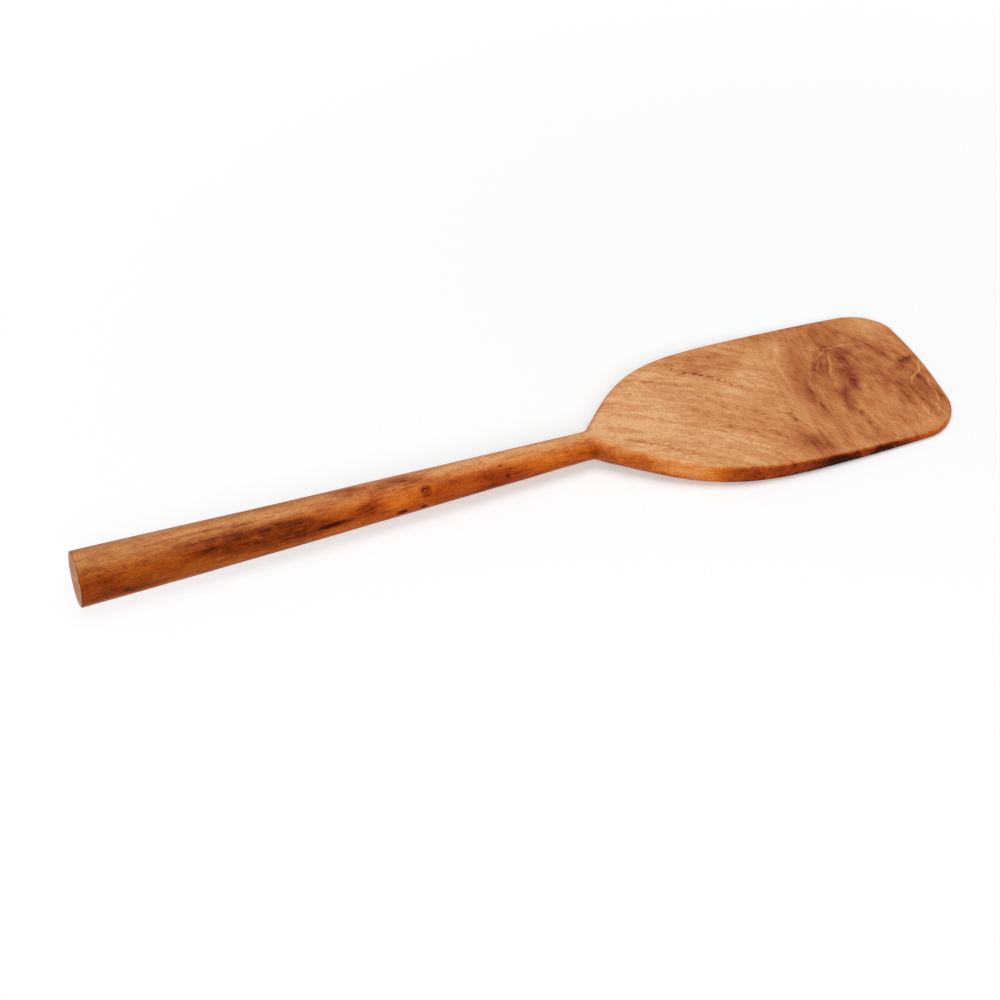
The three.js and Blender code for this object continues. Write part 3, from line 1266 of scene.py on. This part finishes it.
def speckled_colour(tree, wood, tone, finish):
    """Colour of the wood by its darkness, speckled by its open grain."""
    stops = [(darkness, getattr(finish, name)) for name, darkness in COLOUR_TONES.items()]
    colour = add_node(tree, "ShaderNodeValToRGB", {0: tone}, stops)
    speckle = stretched_noise(tree, wood.place, SPECKLE_SIZE, Detail=1.0)
    amount = handle_to_blade(tree, wood, HANDLE_SPECKLE, BLADE_SPECKLE)
    darkest = add_node(tree, "ShaderNodeMath", {0: 1.0, 1: amount}, operation="SUBTRACT")
    brightest = add_node(tree, "ShaderNodeMath", {0: 1.0, 1: amount}, operation="ADD")
    grainy = add_node(
        tree,
        "ShaderNodeMapRange",
        {
            "Value": speckle.outputs["Fac"],
            "To Min": darkest.outputs[0],
            "To Max": brightest.outputs[0],
        },
    )
    speckled = add_node(
        tree,
        "ShaderNodeVectorMath",
        {0: colour.outputs["Color"], "Scale": grainy.outputs[0]},
        operation="SCALE",
    )
    return speckled.outputs[0]


def side_tints(tree, wood, tone, finish):
    """The tints of the sides, each with how much of it shows: painted shade, and the hand's brown."""
    start, end = SIDE_SHADE_TINT_TONES
    shade_by_tone = add_node(
        tree,
        "ShaderNodeMapRange",
        {"Value": tone, "From Min": start, "From Max": end, "To Min": SIDE_SHADE_LEAST},
    )
    start, end = SIDE_SHADE_SLOPES
    side_shade_share = add_node(
        tree,
        "ShaderNodeMapRange",
        {"Value": wood.sideways, "From Min": start, "From Max": end, "To Max": shade_by_tone.outputs[0]},
    )
    grip = add_node(
        tree, "ShaderNodeMapRange", {"Value": wood.along, "From Min": GRIP_END, "From Max": GRIP_START}
    )
    held = add_node(
        tree,
        "ShaderNodeMapRange",
        {"Value": wood.sideways, "From Max": HELD_SLOPE, "To Max": grip.outputs[0]},
    )
    return ((side_shade_share.outputs[0], finish.side_shade), (held.outputs[0], finish.handled))


def teak_material(finish):
    """Teak, sawn and carved, sanded smooth and oil-finished.

    The eye sees a warm golden brown with darker growth rings, fine fibre streaks and short dark
    pores along the grain, and a satin gloss from the oil.
    """
    material = bpy.data.materials.new("oiled_teak")
    material.use_nodes = True
    tree = material.node_tree
    shader = tree.nodes["Principled BSDF"]
    wood = wood_sockets(tree)
    rings = growth_rings(tree, wood)
    pits = pore_pits(tree, wood)
    tone = marked_tone(tree, wood, plain_tone(tree, wood, rings, pits))

    colour = speckled_colour(tree, wood, tone, finish)
    # the sides take the tint of painted shade, and near the butt the hand's brown
    for amount, tint in side_tints(tree, wood, tone, finish):
        tinted = add_node(
            tree,
            "ShaderNodeMix",
            {0: amount, 6: colour, 7: (*tint, 1)},
            data_type="RGBA",
            blend_type="MULTIPLY",
        )
        colour = tinted.outputs[2]
    tree.links.new(colour, shader.inputs["Base Color"])

    pale_gloss, dark_gloss = GLOSS_CHANGE
    gloss = add_node(
        tree,
        "ShaderNodeMapRange",
        {
            "Value": tone,
            "To Min": finish.roughness + pale_gloss,
            "To Max": finish.roughness + dark_gloss,
        },
    )
    tree.links.new(gloss.outputs[0], shader.inputs["Roughness"])
    shader.inputs["IOR"].default_value = OIL_IOR
    shader.inputs["Specular IOR Level"].default_value = OIL_SHINE

    relief = add_node(tree, "ShaderNodeMath", {0: pits, 1: -1.0, 2: rings}, operation="MULTIPLY_ADD")
    bump = add_node(
        tree,
        "ShaderNodeBump",
        {"Height": relief.outputs[0], "Strength": RELIEF_STRENGTH, "Distance": RELIEF_DEPTH},
    )
    tree.links.new(bump.outputs[0], shader.inputs["Normal"])
    return material


class TURNER_OT_carve(bpy.types.Operator):
    """Carves the turner from one piece of teak"""

    bl_idname = "turner.carve"
    bl_label = "Carve turner"

    def execute(self, context):
        sizes = context.scene.turner_sizes
        butt_x = CAD_LOW.x
        neck_x = butt_x + sizes.handle_length
        tip_x = CAD_HIGH.x - TIP_OVERHANG
        turner = add_handle(sizes, butt_x, neck_x)
        finish_butt(turner, sizes, butt_x)
        for section in blade_sections(sizes, neck_x, tip_x):
            add_section(turner, section)
        close_skin(turner)
        sand_surface(turner)
        turner.data.materials.append(teak_material(context.scene.teak_finish))
        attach(turner, "root")
        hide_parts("turner")
        return {"FINISHED"}


def seen_directly(tree):
    """1 for rays from the camera and for those that a gloss or a glass sends on, else 0."""
    path = add_node(tree, "ShaderNodeLightPath").outputs
    seen = add_node(
        tree,
        "ShaderNodeMath",
        {0: path["Is Camera Ray"], 1: path["Is Glossy Ray"]},
        operation="MAXIMUM",
    )
    through = add_node(
        tree,
        "ShaderNodeMath",
        {0: seen.outputs[0], 1: path["Is Transmission Ray"]},
        operation="MAXIMUM",
    )
    return through.outputs[0]


def add_floor(light):
    """A wide pale floor. Seen by the camera it is mostly white, and it keeps the turner's shadow."""
    bpy.ops.object.select_all(action="DESELECT")
    bpy.ops.mesh.primitive_plane_add(size=FLOOR_WIDTH)
    floor = bpy.context.object
    floor.name = "floor"
    material = bpy.data.materials.new("white_paper")
    material.use_nodes = True
    tree = material.node_tree
    tree.nodes.clear()
    paper = add_node(tree, "ShaderNodeBsdfDiffuse", {"Color": (*light.floor, 1)})
    white = add_node(tree, "ShaderNodeEmission")
    spot = add_node(tree, "ShaderNodeTexCoord").outputs["Object"]
    away = add_node(tree, "ShaderNodeVectorMath", {0: spot, 1: WHITE_CENTRE}, operation="DISTANCE")
    whiter = add_node(
        tree,
        "ShaderNodeMapRange",
        {
            "Value": away.outputs["Value"],
            "From Min": WHITE_NEAR[0],
            "From Max": WHITE_FAR[0],
            "To Min": WHITE_NEAR[1],
            "To Max": WHITE_FAR[1],
        },
    )
    amount = add_node(
        tree, "ShaderNodeMath", {0: seen_directly(tree), 1: whiter.outputs[0]}, operation="MULTIPLY"
    )
    surface = add_node(
        tree,
        "ShaderNodeMixShader",
        {0: amount.outputs[0], 1: paper.outputs[0], 2: white.outputs[0]},
    )
    add_node(tree, "ShaderNodeOutputMaterial", {0: surface.outputs[0]})
    floor.data.materials.append(material)


def add_sky(scene, light):
    """Even light from all round, white where it is seen directly."""
    world = bpy.data.worlds.new("white_tent")
    scene.world = world
    world.use_nodes = True
    tree = world.node_tree
    strength = add_node(
        tree,
        "ShaderNodeMapRange",
        {"Value": seen_directly(tree), "To Min": light.sky, "To Max": 1.0},
    )
    background = tree.nodes["Background"]
    background.inputs["Color"].default_value = (1, 1, 1, 1)
    tree.links.new(strength.outputs[0], background.inputs["Strength"])


def add_softboxes(light):
    """A softbox overhead, for the shadow close to the turner, and one above the camera.

    The oil mirrors only the one overhead, so that the near side keeps its colour.
    """
    boxes = (
        ("overhead_softbox", OVERHEAD_PLACE, light.top_power, OVERHEAD_WIDTH, True),
        ("front_softbox", FRONT_PLACE, light.front_power, FRONT_WIDTH, False),
    )
    for name, place, power, width, is_mirrored in boxes:
        turn = place.to_track_quat("Z", "Y").to_euler()
        bpy.ops.object.light_add(type="AREA", location=place, rotation=turn)
        lamp = bpy.context.object
        lamp.name = name
        lamp.data.energy = power
        lamp.data.size = width
        lamp.visible_glossy = is_mirrored


def add_camera(scene):
    """The camera, where the photograph was taken from."""
    level = math.cos(CAMERA_ELEVATION) * CAMERA_DISTANCE
    away = Vector((math.sin(CAMERA_TURN) * level, -math.cos(CAMERA_TURN) * level, 0))
    away.z = math.sin(CAMERA_ELEVATION) * CAMERA_DISTANCE
    tilt = math.pi / 2 - CAMERA_ELEVATION
    bpy.ops.object.camera_add(location=CAMERA_AIM + away, rotation=(tilt, 0, CAMERA_TURN))
    camera = bpy.context.object
    camera.data.lens = CAMERA_LENS
    scene.camera = camera


class TURNER_OT_stage(bpy.types.Operator):
    """Sets the floor, the lights and the camera"""

    bl_idname = "turner.stage"
    bl_label = "Set stage"

    def execute(self, context):
        light = context.scene.stage_light
        add_floor(light)
        add_sky(context.scene, light)
        add_softboxes(light)
        add_camera(context.scene)
        context.scene.view_settings.view_transform = "Standard"
        return {"FINISHED"}


class TURNER_PT_sidebar(bpy.types.Panel):
    """Lists the steps that build the turner and its stage"""

    bl_idname = "TURNER_PT_sidebar"
    bl_label = "Wooden turner"
    bl_space_type = "VIEW_3D"
    bl_region_type = "UI"
    bl_category = "Turner"

    def draw(self, context):
        scene = context.scene
        groups = (
            (scene.turner_sizes, TURNER_OT_carve),
            (scene.teak_finish, None),
            (scene.stage_light, TURNER_OT_stage),
        )
        for settings, step in groups:
            box = self.layout.box()
            for name in settings.__annotations__:
                box.prop(settings, name)
            if step:
                box.operator(step.bl_idname)


CLASSES = (
    TurnerSizes,
    TeakFinish,
    StageLight,
    TURNER_OT_carve,
    TURNER_OT_stage,
    TURNER_PT_sidebar,
)


def register():
    """Registers the classes and gives each scene its settings."""
    for each in CLASSES:
        bpy.utils.register_class(each)
    bpy.types.Scene.turner_sizes = PointerProperty(type=TurnerSizes)
    bpy.types.Scene.teak_finish = PointerProperty(type=TeakFinish)
    bpy.types.Scene.stage_light = PointerProperty(type=StageLight)


def unregister():
    """Takes back what register did."""
    del bpy.types.Scene.stage_light
    del bpy.types.Scene.teak_finish
    del bpy.types.Scene.turner_sizes
    for each in reversed(CLASSES):
        bpy.utils.unregister_class(each)


def main():
    """Builds the turner and its stage."""
    register()
    bpy.ops.turner.carve()
    bpy.ops.turner.stage()


if __name__ == "__main__":
    main()
